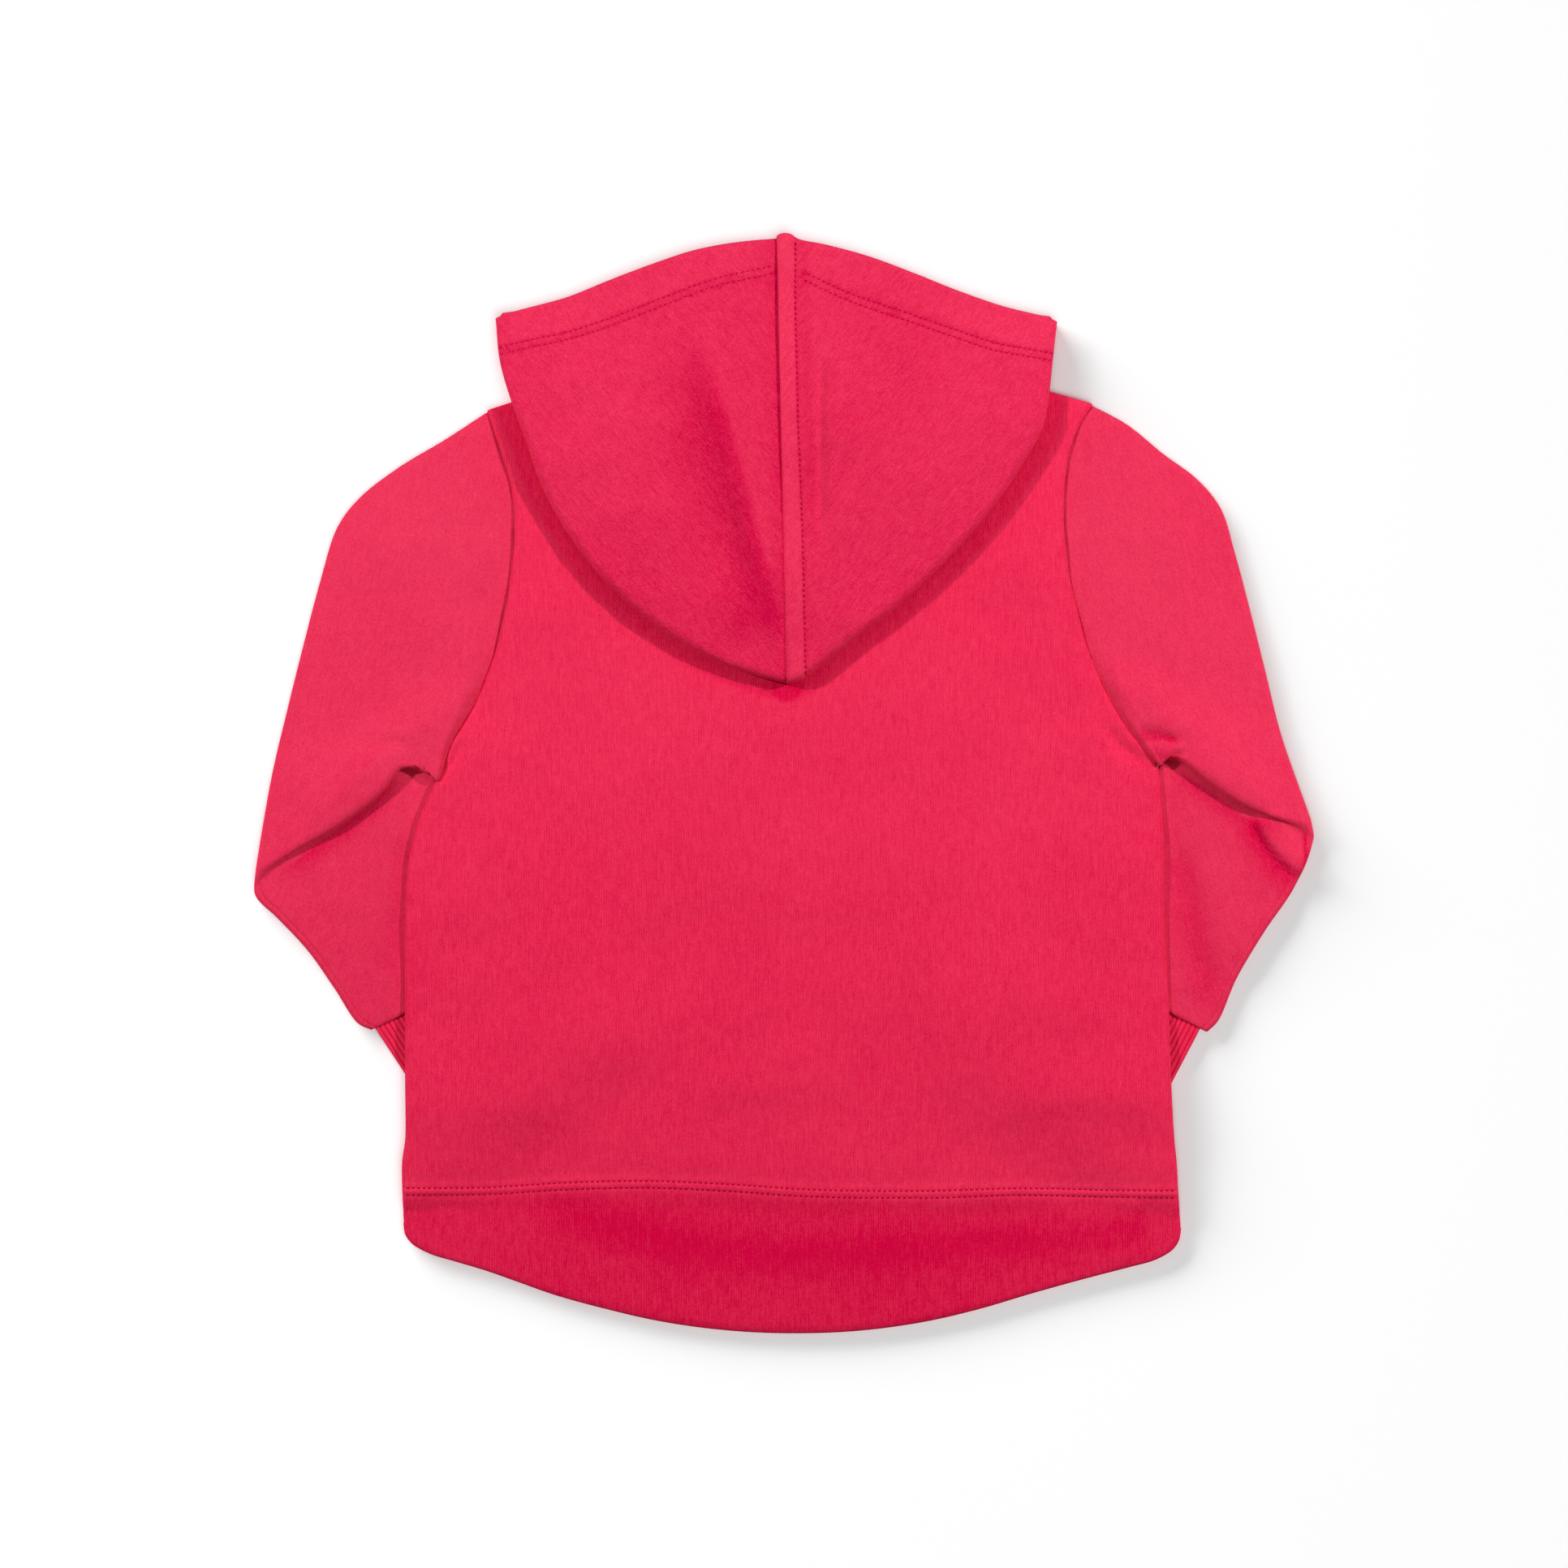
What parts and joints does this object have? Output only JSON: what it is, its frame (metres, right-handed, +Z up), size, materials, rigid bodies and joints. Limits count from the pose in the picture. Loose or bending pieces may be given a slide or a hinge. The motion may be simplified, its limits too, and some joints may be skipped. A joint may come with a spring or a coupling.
{
  "type": "kids hoodie laid flat on its front",
  "caption": "Child's pullover hoodie in brushed fleece, laid flat on its front with its hood folded back and sleeves bent under.",
  "frame": {"origin": "on the surface that the garment lies on, under the middle of its outline", "axes": "+Z up from the surface to the back of the garment, which is uppermost; +Y from the hem to the hood; +X to the garment's right arm side as seen from above"},
  "size_m": [0.4895, 0.5058, 0.01],
  "materials": {
    "fleece": "brushed coral-red sweatshirt fleece with a soft nap",
    "rib": "ribbed knit in the same coral red"
  },
  "bodies": {
    "root": {"body_front": "fleece", "body_back": "fleece", "sleeve_left": "fleece", "sleeve_right": "fleece", "cuff_left": "rib", "cuff_right": "rib", "hood_left": "fleece", "hood_right": "fleece"}
  },
  "joints": []
}
